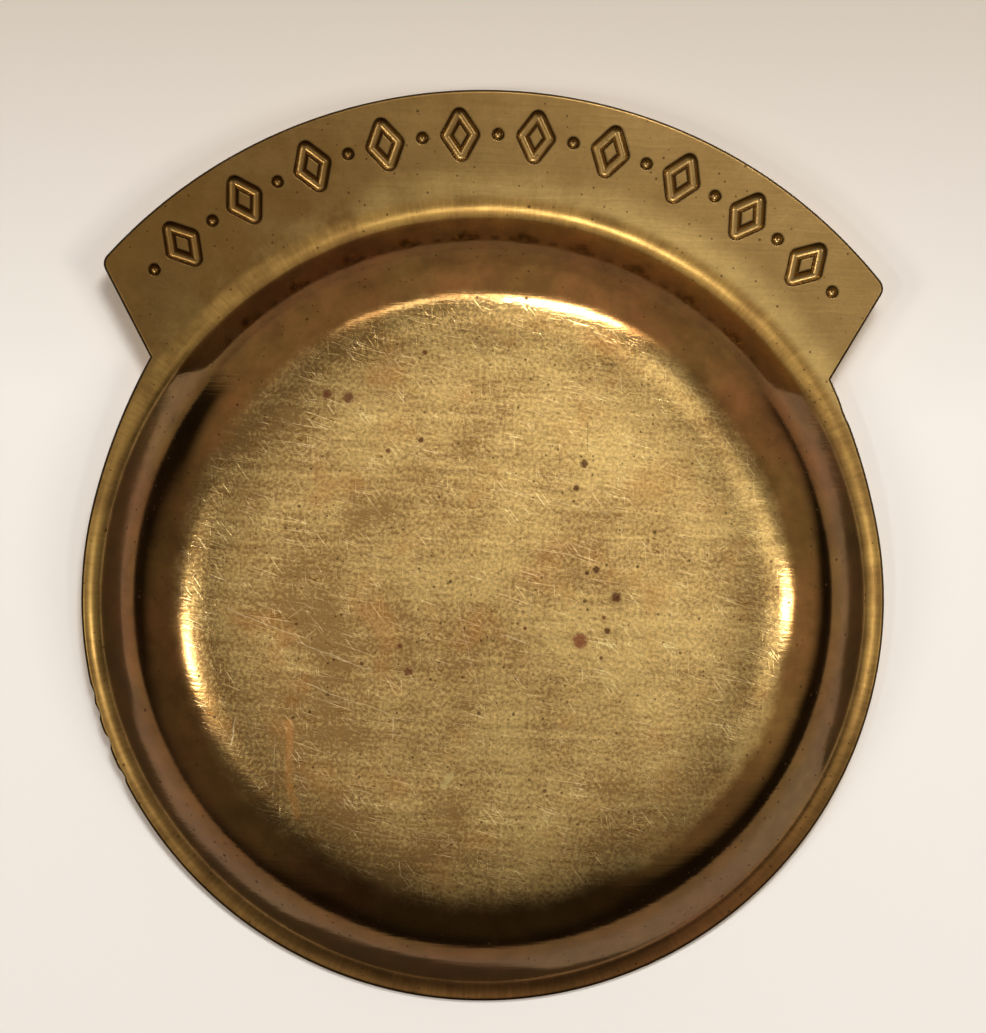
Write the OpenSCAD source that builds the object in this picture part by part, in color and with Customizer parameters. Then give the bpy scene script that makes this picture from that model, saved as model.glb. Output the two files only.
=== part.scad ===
// Coin tray pressed from one sheet of brass: a round drawn well, a narrow flange, and an arched
// header that carries an embossed border of lozenges and pellets.
// The tray stands face up. Z points out of the well, Y points to the header, and the origin is the
// middle of the underside that the tray rests on.

/* [Sheet] */
// Thickness of the brass sheet
sheet_t = 0.7; // [0.4:0.1:1.2]

/* [Well and rim] */
// Diameter of the round rim
rim_d = 127; // [100:1:152]
// Width of the flat flange outside the well
flange_w = 0.8; // [0.5:0.1:6]
// Depth of the well, from the back of the flange to the underside of the floor
well_depth = 13; // [9:0.5:20]
// Slope of the wall, in degrees from level
wall_slope = 52; // [40:1:60]
// Radius of the shoulder between floor and wall, on the underside
shoulder_r = 19; // [8:0.5:24]
// Radius of the bend between wall and flange, on the underside
root_r = 3.5; // [1.5:0.5:6]

/* [Header] */
// How far the header reaches beyond the rim
header_reach = 17.1; // [14:0.1:26]
// Angle from the header's axis to each notch
header_half_angle = 55.8; // [40:0.1:70]
// Slant of the header's ends, in degrees from its axis
end_splay = 29.2; // [20:0.1:40]
// Radius of the header's two corners
corner_r = 2; // [0.5:0.1:5]
// How far the notches stand out from the rim
notch_step = 1.6; // [0.8:0.1:3]
// Angle over which the rim swells towards each notch
flare_angle = 22; // [16:1:30]

/* [Border] */
// Width of an embossed stroke, on the back
stroke_w = 1.7; // [1:0.1:2.2]
// Height of a lozenge along the header's radius, between the middles of its strokes
lozenge_h = 7.2; // [5:0.1:8.5]
// Width of a lozenge, between the middles of its strokes
lozenge_w = 4.4; // [3.5:0.1:5.5]
// Distance from one lozenge to the next
border_pitch = 12; // [10:0.1:16]
// Distance from the middle of the border to the header's outer edge
border_inset = 7.1; // [6:0.1:8]
// Least distance along the border from its last pellet to a notch's ray
border_end = 10; // [8:0.5:20]

/* [Hidden] */
$fn = 96;

rim_r = rim_d / 2;
mouth_r = rim_r - flange_w;
notch_r = rim_r + notch_step;
header_r = rim_r + header_reach;
seam_r = mouth_r + flange_w / 2;
// Most degrees between two points of a round stretch of an outline
arc_step = 4;
wall_rise = well_depth - (shoulder_r + root_r) * (1 - cos(wall_slope));
floor_r = mouth_r - (shoulder_r + root_r) * sin(wall_slope) - wall_rise / tan(wall_slope);
// Point on the plan at a distance from the middle, and at an angle from the header's axis
function plan(r, angle) = r * [sin(angle), cos(angle)];

// The right-hand end of the header: a straight edge from the notch, and a corner that is tangent
// to that edge and to the outer arc
notch = plan(notch_r, header_half_angle);
end_along = plan(1, end_splay);
end_inward = plan(1, end_splay - 90);
corner_start = notch + corner_r * end_inward;
corner_half = corner_start * end_along;
corner_shift = (header_r - corner_r) ^ 2 - corner_start * corner_start;
corner = corner_start + (sqrt(corner_half ^ 2 + corner_shift) - corner_half) * end_along;
corner_angle = atan2(corner[0], corner[1]);

// The swelling is an arc of a larger circle that is tangent to the rim and passes through the notch
flare_start_angle = header_half_angle + flare_angle;
flare_offset = (notch_r ^ 2 - rim_r ^ 2) / (2 * (rim_r - notch_r * cos(flare_angle)));
flare_end = notch + plan(flare_offset, flare_start_angle);
flare_end_angle = atan2(flare_end[0], flare_end[1]);

border_r = header_r - border_inset;
border_step = border_pitch / border_r * 180 / PI;
border_room = header_half_angle * PI / 180 * border_r - border_end;
lozenges_each_side = floor(border_room / border_pitch);
groove_r = stroke_w / 2;
ridge_r = groove_r + sheet_t;

// Points of an arc about a centre, between two angles counted from the Y axis towards the X axis
function arc(centre, r, from, to) =
    let (steps = ceil(abs(to - from) / arc_step))
    [for (i = [0 : steps]) centre + plan(r, from + (to - from) * i / steps)];

function backwards(points) = [for (i = [len(points) - 1 : -1 : 0]) points[i]];

// Half section of the well with its flange, as the sheet runs from the middle to the rim
module well_section() {
    shoulder_centre = [floor_r, shoulder_r];
    root_centre = [mouth_r, well_depth - root_r];
    back = concat([[0, 0]], arc(shoulder_centre, shoulder_r, 180, 180 - wall_slope),
                  arc(root_centre, root_r, -wall_slope, 0), [[rim_r, well_depth]]);
    front = concat([[0, sheet_t]], arc(shoulder_centre, shoulder_r - sheet_t, 180, 180 - wall_slope),
                   arc(root_centre, root_r + sheet_t, -wall_slope, 0), [[rim_r, well_depth + sheet_t]]);
    polygon(concat(back, backwards(front)));
}

// Outline of the header and of the two swellings of the rim, open at the well. It leaves the rim
// where each swelling has just risen out of it
module header_outline() {
    swelling = arc(-plan(flare_offset, flare_start_angle), rim_r + flare_offset, flare_start_angle,
                   flare_end_angle);
    right_half = concat([plan(mouth_r, flare_start_angle)], [for (i = [1 : len(swelling) - 1]) swelling[i]],
                        arc(corner, corner_r, end_splay + 90, corner_angle),
                        arc([0, 0], header_r, corner_angle, 0));
    left_half = [for (i = [len(right_half) - 2 : -1 : 0]) [-right_half[i][0], right_half[i][1]]];
    difference() {
        polygon(concat(right_half, left_half));
        circle(seam_r);
    }
}

// One side of a lozenge: a rod mitred at the lozenge's two axes, in the first quadrant. It starts at
// the given height above the sheet's back
module lozenge_side(rod_r, start) {
    side_angle = atan2(lozenge_h, lozenge_w);
    reach = lozenge_h + lozenge_w;
    intersection() {
        translate([lozenge_w / 4, lozenge_h / 4, 0]) rotate([0, 90, 180 - side_angle])
            cylinder(h = reach, r = rod_r, center = true);
        translate([0, 0, start]) cube([reach, reach, rod_r - start]);
    }
}

module lozenge(rod_r, start) {
    for (across = [0, 1], along = [0, 1])
        mirror([across, 0, 0]) mirror([0, along, 0]) lozenge_side(rod_r, start);
}

module pellet(dome_r, start) {
    intersection() {
        sphere(dome_r);
        translate([-dome_r, -dome_r, start]) cube([2 * dome_r, 2 * dome_r, dome_r - start]);
    }
}

// The border's strokes: pellets from end to end of the header, and a lozenge between each two
module border(rod_r, start) {
    for (i = [-lozenges_each_side : lozenges_each_side])
        rotate([0, 0, i * border_step]) translate([0, border_r, well_depth]) pellet(rod_r, start);
    for (i = [-lozenges_each_side : lozenges_each_side - 1])
        rotate([0, 0, (i + 0.5) * border_step]) translate([0, border_r, well_depth])
            lozenge(rod_r, start);
}

module pressed_tray() {
    color([0.66, 0.52, 0.25]) difference() {
        union() {
            rotate_extrude() well_section();
            translate([0, 0, well_depth]) linear_extrude(sheet_t) header_outline();
            border(ridge_r, sheet_t / 2);
        }
        border(groove_r, -groove_r);
    }
}

pressed_tray();
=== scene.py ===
"""Looks of a coin tray that is pressed from one sheet of brass.

The tray lies face down on a pale table, so the camera looks at its underside. In the part's frame
the tray stands face up: +Z comes out of the well and +Y points to the header. Lengths are metres,
as in Blender, and sizes are written as millimetres times MM. Materials count in millimetres.
"""

import logging
import math
from dataclasses import dataclass, field
from enum import Enum
from typing import Any

import bmesh
import bpy
from mathutils import Matrix, Vector


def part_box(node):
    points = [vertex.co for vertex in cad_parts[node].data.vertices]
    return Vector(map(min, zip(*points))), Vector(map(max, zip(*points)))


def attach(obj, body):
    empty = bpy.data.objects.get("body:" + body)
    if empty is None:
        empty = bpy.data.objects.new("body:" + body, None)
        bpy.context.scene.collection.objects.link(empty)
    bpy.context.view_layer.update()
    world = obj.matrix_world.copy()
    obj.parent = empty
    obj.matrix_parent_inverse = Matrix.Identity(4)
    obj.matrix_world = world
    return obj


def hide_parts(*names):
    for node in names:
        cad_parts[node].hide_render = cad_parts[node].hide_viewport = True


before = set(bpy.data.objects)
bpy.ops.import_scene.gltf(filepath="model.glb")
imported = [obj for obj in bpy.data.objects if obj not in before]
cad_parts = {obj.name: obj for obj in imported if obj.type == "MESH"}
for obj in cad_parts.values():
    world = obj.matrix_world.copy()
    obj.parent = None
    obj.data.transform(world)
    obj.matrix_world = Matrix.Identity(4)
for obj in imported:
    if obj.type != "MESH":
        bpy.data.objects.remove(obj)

MM = 0.001
NODE = "pressed_tray"
log = logging.getLogger("coin_tray")

# Kinds of node, and settings of nodes, that the materials share
MATH = "ShaderNodeMath"
VECTOR = "ShaderNodeVectorMath"
RANGE = "ShaderNodeMapRange"
NOISE = "ShaderNodeTexNoise"
MIX = "ShaderNodeMix"
SPLIT = "ShaderNodeSeparateXYZ"
COORDINATES = "ShaderNodeTexCoord"
RAY = "ShaderNodeLightPath"
ADD = {"operation": "ADD"}
SUBTRACT = {"operation": "SUBTRACT"}
TIMES = {"operation": "MULTIPLY"}
TIMES_ADD = {"operation": "MULTIPLY_ADD"}
CLAMPED_TIMES_ADD = {"operation": "MULTIPLY_ADD", "use_clamp": True}
COMPARE = {"operation": "COMPARE"}
SCALE = {"operation": "SCALE"}
LENGTH = {"operation": "LENGTH"}
DISTANCE = {"operation": "DISTANCE"}
SMOOTH = {"interpolation_type": "SMOOTHSTEP"}
COLOURS = {"data_type": "RGBA"}


class Side(Enum):
    """The sheet's two faces and the sheared edge between them, each with its material slot."""

    BACK = 0
    FACE = 1
    EDGE = 2


def linear(hex_colour: str) -> tuple[float, float, float, float]:
    """Turns an sRGB hex colour into linear RGBA.

    Args:
        hex_colour: Six hex digits, with or without a leading hash.

    Returns:
        Linear red, green and blue, and an alpha of 1.
    """
    digits = hex_colour.lstrip("#")
    parts = [int(digits[i:i + 2], 16) / 255 for i in (0, 2, 4)]
    red, green, blue = (p / 12.92 if p <= 0.04045 else ((p + 0.055) / 1.055) ** 2.4 for p in parts)
    return red, green, blue, 1.0


def add_node(tree: bpy.types.NodeTree, kind: str, settings: dict[str, Any] | None = None,
             inputs: dict[str | int, Any] | None = None,
             output: str | None = None) -> bpy.types.NodeSocket:
    """Adds a node with its settings, values and links.

    Args:
        tree: The node tree that gets the node.
        kind: The node's type name.
        settings: Attributes of the node, set before its sockets are looked up.
        inputs: For each socket, by name or by place among the enabled ones, a value or a socket.
        output: Name of the output that is wanted, where it isn't the first.

    Returns:
        The wanted output, else the first enabled one, or the first input of a node without outputs.
    """
    made = tree.nodes.new(kind)
    for name, value in (settings or {}).items():
        setattr(made, name, value)
    enabled = [s for s in made.inputs if s.enabled]
    for key, value in (inputs or {}).items():
        socket = enabled[key] if isinstance(key, int) else next(s for s in enabled if s.name == key)
        if isinstance(value, bpy.types.NodeSocket):
            tree.links.new(value, socket)
        else:
            socket.default_value = value
    if output:
        return made.outputs[output]
    return next((s for s in made.outputs if s.enabled), made.inputs[0] if made.inputs else None)


@dataclass(frozen=True)
class TraySizes:
    """Real sizes of the tray's sheet. The rim's and the header's radius come from the frame."""

    rim: float
    header: float
    sheet: float = 0.7 * MM
    flange: float = 0.8 * MM
    depth: float = 13 * MM
    wall_slope: float = math.radians(52)
    shoulder: float = 19 * MM
    root: float = 3.5 * MM
    half_angle: float = math.radians(55.8)
    end_splay: float = math.radians(29.2)
    corner: float = 2 * MM
    notch_step: float = 1.6 * MM
    flare: float = math.radians(22)
    border_inset: float = 7.1 * MM
    border_pitch: float = 12 * MM
    lozenges_each_side: int = 5
    lozenge_high: float = 7.2 * MM
    lozenge_wide: float = 4.4 * MM

    @property
    def mouth(self) -> float:
        """Radius at which the flat flange begins."""
        return self.rim - self.flange

    @property
    def floor(self) -> float:
        """Radius of the well's flat floor.

        Returns:
            The radius that is left inside the wall and its two bends.
        """
        bends = self.shoulder + self.root
        rise = self.depth - bends * (1 - math.cos(self.wall_slope))
        return self.mouth - bends * math.sin(self.wall_slope) - rise / math.tan(self.wall_slope)

    @property
    def notch(self) -> float:
        """Radius of the two notches between rim and header."""
        return self.rim + self.notch_step

    @property
    def border(self) -> float:
        """Radius of the middle of the embossed border."""
        return self.header - self.border_inset

    @property
    def border_step(self) -> float:
        """Angle from one lozenge to the next."""
        return self.border_pitch / self.border

    @property
    def lozenge_side(self) -> float:
        """Distance from a lozenge's middle to each of its four sides."""
        wide, high = self.lozenge_wide, self.lozenge_high
        return wide * high / 2 / math.hypot(wide, high)

    @classmethod
    def from_frame(cls) -> "TraySizes":
        """Reads the rim's and the header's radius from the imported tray."""
        low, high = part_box(NODE)
        return cls(rim=-low[1], header=high[1])


def plan(radius: float, angle: float, height: float = 0.0) -> Vector:
    """Point at a distance from the tray's axis, at an angle from the header's axis towards +X."""
    return Vector((radius * math.sin(angle), radius * math.cos(angle), height))


def plan_angle(point: Vector) -> float:
    """Angle of a point from the header's axis towards +X, in radians."""
    return math.atan2(point.x, point.y)


def eased(value: float, start: float, end: float) -> float:
    """Half a cosine wave between two values.

    Args:
        value: Where the wave is read.
        start: Where it leaves 1.
        end: Where it reaches 0.

    Returns:
        The wave, from 1 down to 0.
    """
    share = min(max((value - start) / (end - start), 0.0), 1.0)
    return 0.5 + 0.5 * math.cos(math.pi * share)


@dataclass(frozen=True)
class Dent:
    """A small knock in the tray's outline.

    The outline moves in by ``depth`` at ``angle`` degrees from the header's axis, over ``width``
    each way.
    """

    angle: float
    depth: float
    width: float


@dataclass(frozen=True)
class StrokeSection:
    """Cross-section of a stamped stroke.

    It has a round crown, straight flanks, and a foot that eases into the sheet.
    """

    crown: float
    foot: float
    slope: float
    height: float

    def lift(self, distance: float) -> float:
        """Height of the stroke above the sheet.

        Args:
            distance: Distance on the plan from the middle of the stroke.

        Returns:
            The height, which is 0 beyond the foot.
        """
        crown_end = self.crown * math.sin(self.slope)
        arcs = (self.crown + self.foot) * (1 - math.cos(self.slope))
        foot_start = crown_end + (self.height - arcs) / math.tan(self.slope)
        foot_end = foot_start + self.foot * math.sin(self.slope)
        if distance >= foot_end:
            return 0.0
        if distance <= crown_end:
            return self.height - self.crown + math.sqrt(self.crown ** 2 - distance ** 2)
        if distance >= foot_start:
            return self.foot - math.sqrt(self.foot ** 2 - (foot_end - distance) ** 2)
        crown_low = self.height - self.crown * (1 - math.cos(self.slope))
        return crown_low - (distance - crown_end) * math.tan(self.slope)


@dataclass
class PressedTray:
    """The tray's sheet, as a fine closed mesh with its stamped border and its sheared edge."""

    sizes: TraySizes
    strip: float = 0.6 * MM
    back_roll: float = 0.5 * MM
    face_roll: float = 0.12 * MM
    # Fineness of the mesh
    floor_rings: tuple[float, ...] = (0.0, 0.1, 0.25, 0.45, 0.64, 0.8, 0.92)
    header_columns: int = 148
    rim_columns: int = 330
    shoulder_steps: int = 26
    root_steps: int = 12
    corner_steps: int = 8
    end_piece: float = 1.2 * MM
    arc_piece: float = 1.1 * MM
    pellet_points: int = 20
    turn_points: int = 6
    # Distances from a stroke's middle at which the mesh follows it, in millimetres
    stroke_rings: tuple[float, ...] = (
        0.1, 0.25, 0.4, 0.55, 0.68, 0.76, 0.84, 0.92, 1.0, 1.1, 1.25, 1.45, 1.65)
    stroke_turn: float = 0.3 * MM
    least_turn: float = 0.05 * MM
    back_stroke: StrokeSection = StrokeSection(0.8 * MM, 0.32 * MM, math.radians(63), 0.85 * MM)
    face_stroke: StrokeSection = StrokeSection(1.4 * MM, 0.35 * MM, math.radians(50), 0.85 * MM)
    # Dirt and painted shade lie on the sheared edge, and beside each stroke where its foot meets
    # the sheet
    stroke_reach: float = 1.7 * MM
    dirt_and_shade_place: float = 0.93 * MM
    dirt_and_shade_width: float = 0.17 * MM
    edge_rise: float = 0.03 * MM
    edge_top: float = 0.6 * MM
    dents: tuple[Dent, ...] = (
        Dent(105.4, 0.3 * MM, 1.5 * MM),
        Dent(108.3, 0.4 * MM, 1.2 * MM),
        Dent(112.6, 0.5 * MM, 1.6 * MM),
        Dent(118.0, 0.35 * MM, 1.4 * MM),
        Dent(-61.0, 0.15 * MM, 2.5 * MM),
    )

    def section(self) -> list[Vector]:
        """Half section of the well's back, from the middle to the rim.

        Returns:
            Points in the plane of the Y and Z axes.
        """
        s = self.sizes
        points = [Vector((0, s.floor * share, 0)) for share in self.floor_rings]
        for i in range(self.shoulder_steps + 1):
            turn = s.wall_slope * i / self.shoulder_steps
            points.append(Vector((0, s.floor + s.shoulder * math.sin(turn),
                                  s.shoulder * (1 - math.cos(turn)))))
        wall_start = points[-1]
        root = []
        for i in range(self.root_steps + 1):
            turn = s.wall_slope * (1 - i / self.root_steps)
            root.append(Vector((0, s.mouth - s.root * math.sin(turn),
                                s.depth - s.root * (1 - math.cos(turn)))))
        points.append((wall_start + root[0]) / 2)
        return points + root + [Vector((0, s.rim, s.depth))]

    def swelling(self, angle: float) -> float:
        """Radius of the rim's outline, which swells towards the notches.

        Args:
            angle: Angle from the header's axis.

        Returns:
            The radius there.
        """
        s = self.sizes
        offset = (s.notch ** 2 - s.rim ** 2) / (2 * (s.rim - s.notch * math.cos(s.flare)))
        away = s.flare - abs(abs(angle) - s.half_angle)
        if away <= 0:
            return s.rim
        radius = s.rim + offset
        return -offset * math.cos(away) + math.sqrt(radius ** 2 - (offset * math.sin(away)) ** 2)

    def spin_well(self, mesh: bmesh.types.BMesh) -> None:
        """Spins the half section once round, and swells its rim beside the header.

        Args:
            mesh: The sheet, still empty.
        """
        s = self.sizes
        start = Matrix.Rotation(s.half_angle, 4, "Z")
        verts = [mesh.verts.new(start @ p) for p in self.section()]
        profile: list[Any] = [*verts, *(mesh.edges.new(pair) for pair in zip(verts, verts[1:]))]
        for turn, steps in ((2 * s.half_angle, self.header_columns),
                            (2 * math.pi - 2 * s.half_angle, self.rim_columns)):
            spun = bmesh.ops.spin(mesh, geom=profile, cent=(0, 0, 0), axis=(0, 0, -1), angle=turn,
                                  steps=steps, use_merge=False, use_duplicate=False)
            profile = spun["geom_last"]
        bmesh.ops.remove_doubles(mesh, verts=mesh.verts[:], dist=0.01 * MM)
        for vert in mesh.verts:
            if math.hypot(vert.co.x, vert.co.y) > s.rim - 0.1 * MM:
                angle = plan_angle(vert.co)
                vert.co = plan(self.swelling(angle), angle, vert.co.z)

    def header_end(self) -> list[Vector]:
        """One end of the header: from the notch along the end edge and round the corner.

        Returns:
            Points of the end on the +X side, without the notch.
        """
        s = self.sizes
        notch, along = plan(s.notch, s.half_angle), plan(1, s.end_splay)
        inward = plan(1, s.end_splay - math.pi / 2)
        first = notch + s.corner * inward
        half = first.dot(along)
        shift = (s.header - s.corner) ** 2 - first.length_squared
        centre = first + (math.sqrt(half ** 2 + shift) - half) * along
        start, end = s.end_splay + math.pi / 2, plan_angle(centre)
        corner = [centre + plan(s.corner, start + (end - start) * i / self.corner_steps)
                  for i in range(self.corner_steps + 1)]
        steps = round((corner[0] - notch).length / self.end_piece)
        return [notch.lerp(corner[0], i / steps) for i in range(1, steps)] + corner

    def add_header(self, mesh: bmesh.types.BMesh) -> None:
        """Adds the header as one flat face, with the border's strokes let into it.

        Args:
            mesh: The sheet, which holds the spun well.
        """
        s = self.sizes
        limit = s.half_angle + 1e-4
        rim = [v for v in mesh.verts if v.is_boundary and abs(plan_angle(v.co)) < limit]
        rim.sort(key=lambda v: plan_angle(v.co))
        end = self.header_end()
        last = plan_angle(end[-1])
        steps = round(2 * last * s.header / self.arc_piece)
        arc = [plan(s.header, last - 2 * last * i / steps) for i in range(1, steps)]
        other = [Vector((-p.x, p.y, 0)) for p in reversed(end)]
        outline = [mesh.verts.new((p.x, p.y, s.depth)) for p in end + arc + other]
        header = mesh.faces.new(rim + outline)
        bmesh.ops.recalc_face_normals(mesh, faces=mesh.faces[:])
        bmesh.ops.inset_region(mesh, faces=mesh.faces[:], thickness=self.strip, use_boundary=True,
                               use_even_offset=True)
        edges = list(header.edges)
        bmesh.ops.delete(mesh, geom=[header], context="FACES_ONLY")
        outward = [d * MM for d in reversed(self.stroke_rings)]
        inward = [-d * MM for d in self.stroke_rings]
        for index in range(-s.lozenges_each_side, s.lozenges_each_side + 1):
            edges += self.add_stroke(mesh, [self.pellet_ring(d) for d in outward], index)
            if index < s.lozenges_each_side:
                rings = [self.lozenge_ring(d) for d in outward + inward]
                edges += self.add_stroke(mesh, rings, index + 0.5)
        bmesh.ops.triangle_fill(mesh, use_beauty=True, edges=edges, normal=(0, 0, 1))

    def pellet_ring(self, radius: float) -> list[Vector]:
        """Circle round the middle of a pellet."""
        points = self.pellet_points
        return [plan(radius, 2 * math.pi * i / points) for i in range(points)]

    def lozenge_ring(self, offset: float) -> list[Vector]:
        """Outline that follows a lozenge's stroke at a distance, outwards or, if negative, inwards.

        Args:
            offset: Distance from the middle of the stroke.

        Returns:
            Points of the closed outline, as many for each distance.
        """
        s = self.sizes
        wide, high = s.lozenge_wide / 2, s.lozenge_high / 2
        radius = max(self.stroke_turn + offset, self.least_turn)
        scale = (s.lozenge_side + offset - radius) / s.lozenge_side
        lean = math.atan2(wide, high)
        points = []
        for quarter in range(4):
            middle = math.pi / 2 * quarter
            corner = Vector((wide * math.cos(middle), high * math.sin(middle), 0)) * scale
            spread = lean if quarter % 2 == 0 else math.pi / 2 - lean
            for i in range(self.turn_points):
                turn = middle + spread * (i / ((self.turn_points - 1) / 2) - 1)
                points.append(corner + Vector((math.cos(turn), math.sin(turn), 0)) * radius)
        return points

    def add_stroke(self, mesh: bmesh.types.BMesh, rings: list[list[Vector]],
                   place: float) -> list[bmesh.types.BMEdge]:
        """Adds nested rings of faces for one stroke, still flat.

        Args:
            mesh: The sheet.
            rings: Outlines round the stroke's own middle, the outer one first.
            place: Steps along the border from the header's axis.

        Returns:
            The edges of the outer ring.
        """
        s = self.sizes
        turn = Matrix.Rotation(-place * s.border_step, 4, "Z")
        turn = turn @ Matrix.Translation((0, s.border, s.depth))
        ring = [mesh.verts.new(turn @ p) for p in rings[0]]
        outer = edges = [mesh.edges.new(pair) for pair in zip(ring, ring[1:] + ring[:1])]
        spots = {v.co.to_tuple(): i for i, v in enumerate(ring)}
        for points in rings[1:]:
            made = bmesh.ops.extrude_edge_only(mesh, edges=edges)["geom"]
            fresh = [g for g in made if isinstance(g, bmesh.types.BMVert)]
            edges = [g for g in made
                     if isinstance(g, bmesh.types.BMEdge) and all(v in fresh for v in g.verts)]
            following = {}
            for vert in fresh:
                index = spots[vert.co.to_tuple()]
                vert.co = turn @ points[index]
                following[vert.co.to_tuple()] = index
            spots = following
        bmesh.ops.edgeloop_fill(mesh, edges=edges)
        return outer

    def build_sheet(self) -> bmesh.types.BMesh:
        """Makes the closed sheet: well, header, thickness, rolled edge, border and dents.

        Returns:
            The finished mesh.
        """
        mesh = bmesh.new()
        for shape in (self.spin_well, self.add_header, self.thicken, self.roll_edges,
                      self.stamp_border, self.knock):
            shape(mesh)
        return mesh

    def thicken(self, mesh: bmesh.types.BMesh) -> None:
        """Gives the sheet its thickness on the side of the tray's face.

        Args:
            mesh: The sheet, which is the tray's back alone.
        """
        bmesh.ops.recalc_face_normals(mesh, faces=mesh.faces[:])
        if sum(f.normal.z * f.calc_area() for f in mesh.faces) < 0:
            bmesh.ops.reverse_faces(mesh, faces=mesh.faces[:])
        bmesh.ops.solidify(mesh, geom=mesh.faces[:], thickness=-self.sizes.sheet)
        bmesh.ops.recalc_face_normals(mesh, faces=mesh.faces[:])
        if mesh.calc_volume(signed=True) < 0:
            bmesh.ops.reverse_faces(mesh, faces=mesh.faces[:])

    def roll_edges(self, mesh: bmesh.types.BMesh) -> None:
        """Rounds the outline, more on the back, where the shears pressed the sheet down.

        Args:
            mesh: The sheet, with its thickness.
        """
        s = self.sizes
        sharp_angle, level = math.radians(60), 0.02 * MM
        for height, roll, segments in ((s.depth, self.back_roll, 4),
                                       (s.depth + s.sheet, self.face_roll, 2)):
            sharp = [e for e in mesh.edges
                     if len(e.link_faces) == 2 and e.calc_face_angle() > sharp_angle
                     and all(abs(v.co.z - height) < level for v in e.verts)]
            bmesh.ops.bevel(mesh, geom=sharp, offset=roll, segments=segments, profile=0.5,
                            affect="EDGES", material=-1, clamp_overlap=False)

    def stroke_distance(self, point: Vector) -> float:
        """Distance on the plan to the middle of the border's nearest stroke.

        Args:
            point: The point that it is measured from.

        Returns:
            The distance, or the header's radius at a point beyond the border's ends.
        """
        s = self.sizes
        radius, angle = math.hypot(point.x, point.y), plan_angle(point)
        if abs(angle) > (s.lozenges_each_side + 0.5) * s.border_step:
            return s.header
        middle = plan(s.border, 0)
        nearest = round(angle / s.border_step)
        pellet = (plan(radius, angle - nearest * s.border_step) - middle).length
        between = math.floor(angle / s.border_step) + 0.5
        if abs(between) > s.lozenges_each_side:
            return pellet
        local = plan(radius, angle - between * s.border_step) - middle
        shrink = (s.lozenge_side - self.stroke_turn) / s.lozenge_side
        wide, high = s.lozenge_wide / 2 * shrink, s.lozenge_high / 2 * shrink
        spot = Vector((abs(local.x), abs(local.y) - high))
        along = Vector((wide, -high)).normalized()
        foot = along * min(max(spot.dot(along), 0.0), math.hypot(wide, high))
        inside = abs(local.x) / wide + abs(local.y) / high < 1
        lozenge = (spot - foot).length * (-1 if inside else 1) - self.stroke_turn
        return min(pellet, abs(lozenge))

    def stamp_border(self, mesh: bmesh.types.BMesh) -> None:
        """Presses the border's strokes into the back, and out of the face.

        Args:
            mesh: The sheet, with a flat header.
        """
        s = self.sizes
        middle = s.depth + s.sheet / 2
        for vert in mesh.verts:
            if math.hypot(vert.co.x, vert.co.y) < s.rim or vert.co.z < s.depth - 0.1 * MM:
                continue
            stroke = self.back_stroke if vert.co.z < middle else self.face_stroke
            vert.co.z += stroke.lift(self.stroke_distance(vert.co))

    def knock(self, mesh: bmesh.types.BMesh) -> None:
        """Pushes the outline in at the dents.

        Args:
            mesh: The sheet.
        """
        s = self.sizes
        for vert in mesh.verts:
            radius, angle = math.hypot(vert.co.x, vert.co.y), plan_angle(vert.co)
            if radius < s.mouth:
                continue
            outer = min((radius - s.mouth) / s.flange, 1)
            for dent in self.dents:
                away = abs(angle - math.radians(dent.angle)) * radius
                if away < dent.width:
                    inward = dent.depth * eased(away, 0, dent.width) * outer
                    vert.co = plan(radius - inward, angle, vert.co.z)

    def assign_sides(self, mesh: bmesh.types.BMesh) -> None:
        """Gives each face its material slot: back, face or sheared edge.

        Args:
            mesh: The finished sheet.
        """
        level = 0.3
        for face in mesh.faces:
            face.smooth = True
            up = face.normal.z
            side = Side.FACE if up > level else Side.BACK if up < -level else Side.EDGE
            face.material_index = side.value

    def add_grime_and_shade(self, data: bpy.types.Mesh) -> None:
        """Marks where dirt and painted shade lie: along both edges of each stroke, and on the
        sheared edge.

        Args:
            data: The sheet's mesh, which gets the attribute for dirt and painted shade.
        """
        s = self.sizes
        grime_and_shade = data.attributes.new("grime_and_shade", "FLOAT", "POINT")
        for vert, value in zip(data.vertices, grime_and_shade.data):
            radius, height = math.hypot(vert.co.x, vert.co.y), vert.co.z
            if radius < s.rim - 0.5 * MM:
                continue
            away = self.stroke_distance(vert.co) if radius > s.rim + 2 * MM else s.rim
            if away > self.stroke_reach:
                rise = min(max((height - s.depth) / self.edge_rise, 0.0), 1.0)
                value.value = rise if height < s.depth + self.edge_top else 0.0
            elif height < s.depth + s.sheet / 2 or vert.normal.z < 0:
                value.value = math.exp(-((away - self.dirt_and_shade_place) / self.dirt_and_shade_width) ** 2)

    def make(self, finishes: list[bpy.types.Material]) -> bpy.types.Object:
        """Builds the tray's object and dresses it.

        Args:
            finishes: The materials of back, face and sheared edge, in the order of Side.

        Returns:
            The finished object.
        """
        mesh = self.build_sheet()
        mesh.normal_update()
        self.assign_sides(mesh)
        data = bpy.data.meshes.new("tray_sheet")
        mesh.to_mesh(data)
        mesh.free()
        self.add_grime_and_shade(data)
        for finish in finishes:
            data.materials.append(finish)
        data.set_sharp_from_angle(angle=math.radians(50))
        tray = bpy.data.objects.new("tray_sheet", data)
        bpy.context.collection.objects.link(tray)
        return tray


@dataclass(frozen=True)
class Pattern:
    """A noise that spans 0 to 1.

    ``size`` is that of its largest patches in millimetres, ``detail`` counts octaves of finer
    noise, and ``spread`` is half the raw noise's span that is stretched to 0 to 1.
    """

    size: float
    detail: float
    spread: float = 0.2


@dataclass(frozen=True)
class Band:
    """A smooth step of a radius or a place in millimetres, from 0 at start to 1 at end."""

    start: float
    end: float


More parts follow.
